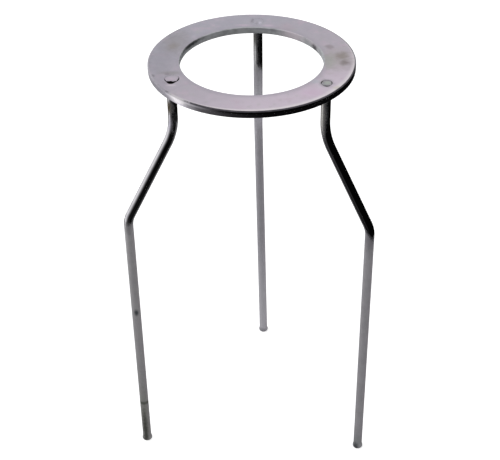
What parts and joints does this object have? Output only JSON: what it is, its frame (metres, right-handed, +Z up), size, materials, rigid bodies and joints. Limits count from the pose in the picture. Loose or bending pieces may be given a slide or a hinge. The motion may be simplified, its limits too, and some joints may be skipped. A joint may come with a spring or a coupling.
{
  "type": "lab tripod stand",
  "caption": "Flat steel ring on splayed round-rod legs, for holding gauze or glassware above a laboratory burner.",
  "frame": {"origin": "point on the bench straight below the middle of the ring", "axes": "+Z up along the ring's axis, +Y towards the back leg, +X towards the right leg"},
  "size_m": [0.128, 0.1224, 0.2318],
  "materials": {
    "ring": "nickel plate over blanked steel, satin and lightly tarnished, bright along the upper edge",
    "leg_back": "nickel-plated drawn rod, polished, a little dulled by handling",
    "leg_left": "nickel-plated drawn rod, polished, tarnished and stained towards the foot",
    "leg_right": "nickel-plated drawn rod, polished, darkened at the foot"
  },
  "bodies": {
    "root": {"ring": "ring", "leg_back": "leg_back", "leg_left": "leg_left", "leg_right": "leg_right"}
  },
  "joints": []
}
